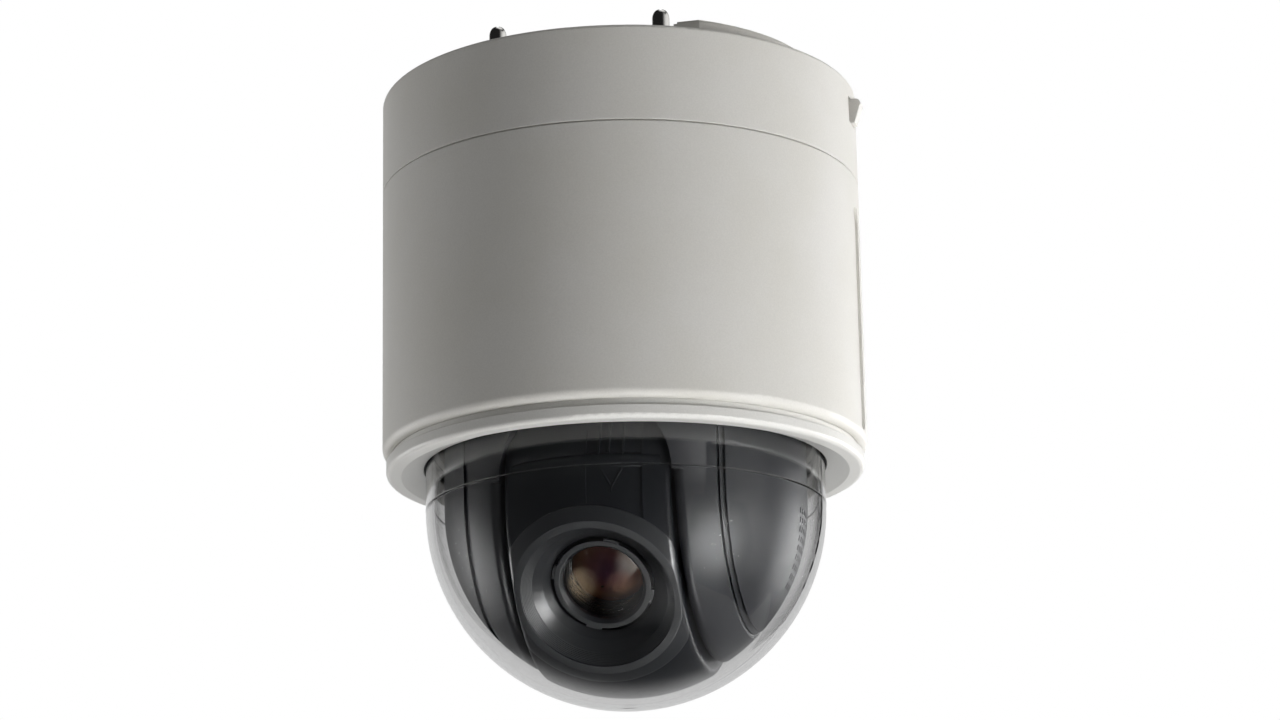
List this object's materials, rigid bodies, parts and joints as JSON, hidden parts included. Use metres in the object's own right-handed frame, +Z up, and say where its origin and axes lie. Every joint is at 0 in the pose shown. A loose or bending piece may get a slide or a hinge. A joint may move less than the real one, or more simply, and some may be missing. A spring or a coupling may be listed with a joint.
{
  "type": "ptz camera",
  "caption": "Round in-ceiling dome camera: white housing on studs, clear bubble, and a dark camera head that pans all round and tilts in a slotted liner.",
  "frame": {"origin": "centre of the flat mounting face on top, at the middle of the stud pattern", "axes": "+Z up along the studs and the pan axis, -Y the way the camera head faces at rest, +X the side with the terminal cover"},
  "size_m": [0.176, 0.169, 0.2309],
  "materials": {
    "white_housing": "fine satin paint",
    "white_trim": "fine satin moulding",
    "clear_bubble": "clear polished polycarbonate",
    "dark_liner": "satin moulding",
    "dark_head": "fine matt moulding",
    "black_plastic": "matt moulding",
    "coated_lens": "coated optical glass",
    "stainless": "turned",
    "zinc_steel": "zinc plated",
    "spring_steel": "drawn wire",
    "bearing_steel": "ground",
    "cast_alloy": "die cast",
    "machined_alloy": "turned",
    "dark_alloy": "black anodised",
    "brass": "turned",
    "gear_plastic": "moulded acetal",
    "black_rubber": "moulded",
    "green_board": "solder mask",
    "green_terminal": "moulded",
    "motor_steel": "plated"
  },
  "bodies": {
    "housing": {"top_cover": "white_housing", "ceiling_studs": "stainless", "stud_nuts": "brass", "terminal_cover": "white_trim", "cable_grommet": "black_rubber", "cover_screws": "zinc_steel", "main_housing": "white_housing", "trim_ring": "white_trim", "bubble": "clear_bubble", "bubble_seal": "black_rubber", "latch_spring_left": "spring_steel", "latch_spring_right": "spring_steel", "power_board": "green_board", "terminal_block": "green_terminal", "main_board": "green_board", "board_heatsink": "machined_alloy", "chassis_screws": "zinc_steel", "base_plate": "cast_alloy", "bearing_retainer": "machined_alloy", "pan_bearing_outer": "bearing_steel", "pan_bearing_balls": "bearing_steel", "pan_motor": "motor_steel", "slip_ring_stator": "black_plastic"},
    "latch_left": {"latch_left": "white_trim"},
    "latch_right": {"latch_right": "white_trim"},
    "pan_pinion": {"pan_pinion": "gear_plastic"},
    "turntable": {"pan_bearing_inner": "bearing_steel", "slip_ring_rotor": "brass", "hub_nut": "machined_alloy", "turntable": "cast_alloy", "pan_gear": "gear_plastic", "yoke_arm_left": "dark_alloy", "yoke_arm_right": "dark_alloy", "deck_screws": "zinc_steel", "centre_shroud": "dark_liner", "side_cover_left": "dark_liner", "side_cover_right": "dark_liner", "tilt_bushes": "brass", "tilt_motor": "motor_steel", "tilt_bracket": "machined_alloy", "fan_frame": "black_plastic"},
    "tilt_pinion": {"tilt_pinion": "gear_plastic"},
    "fan_rotor": {"fan_rotor": "black_plastic"},
    "camera_head": {"head_front_shell": "dark_head", "head_rear_shell": "dark_head", "lens_hood": "dark_head", "bezel_ring": "black_plastic", "front_glass": "coated_lens", "inner_glass": "coated_lens", "iris_ring": "black_plastic", "lens_barrel": "black_plastic", "zoom_chassis": "dark_alloy", "guide_rods": "stainless", "sensor_board": "green_board", "trunnion_left": "machined_alloy", "trunnion_right": "machined_alloy", "tilt_gear": "gear_plastic"},
    "zoom_group": {"zoom_group": "black_plastic"},
    "focus_group": {"focus_group": "black_plastic"}
  },
  "joints": [
    {"name": "pan", "type": "hinge", "parent": "housing", "child": "turntable", "pos_m": [0, 0, 0], "axis": [0, 0, 1], "continuous": true},
    {"name": "tilt", "type": "hinge", "parent": "turntable", "child": "camera_head", "pos_m": [0, 0, -0.1521], "axis": [1, 0, 0], "range_deg": [-44.5, 145.5]},
    {"name": "pan_pinion_spin", "type": "hinge", "parent": "housing", "child": "pan_pinion", "pos_m": [0, 0.0432, 0], "axis": [0, 0, 1], "continuous": true},
    {"name": "tilt_pinion_spin", "type": "hinge", "parent": "turntable", "child": "tilt_pinion", "pos_m": [-0.0425, 0, -0.1305], "axis": [1, 0, 0], "range_deg": [-440, 140]},
    {"name": "fan_spin", "type": "hinge", "parent": "turntable", "child": "fan_rotor", "pos_m": [0.046, 0.001, -0.168], "axis": [1, 0, 0], "continuous": true},
    {"name": "zoom_slide", "type": "slide", "parent": "camera_head", "child": "zoom_group", "axis": [0, -0.7716, -0.6361], "range_m": [-0.016, 0.003]},
    {"name": "focus_slide", "type": "slide", "parent": "camera_head", "child": "focus_group", "axis": [0, -0.7716, -0.6361], "range_m": [-0.007, 0.005]},
    {"name": "latch_left_press", "type": "slide", "parent": "housing", "child": "latch_left", "axis": [1, 0, 0], "range_m": [0, 0.0025], "stiffness_N_per_m": 400, "springref_m": -0.003, "deforming": ["latch_spring_left"]},
    {"name": "latch_right_press", "type": "slide", "parent": "housing", "child": "latch_right", "axis": [-1, 0, 0], "range_m": [0, 0.0025], "stiffness_N_per_m": 400, "springref_m": -0.003, "deforming": ["latch_spring_right"]}
  ],
  "couplings": [
    {"joint": "pan_pinion_spin", "follows": "pan", "ratio": -5},
    {"joint": "tilt_pinion_spin", "follows": "tilt", "ratio": -3}
  ]
}
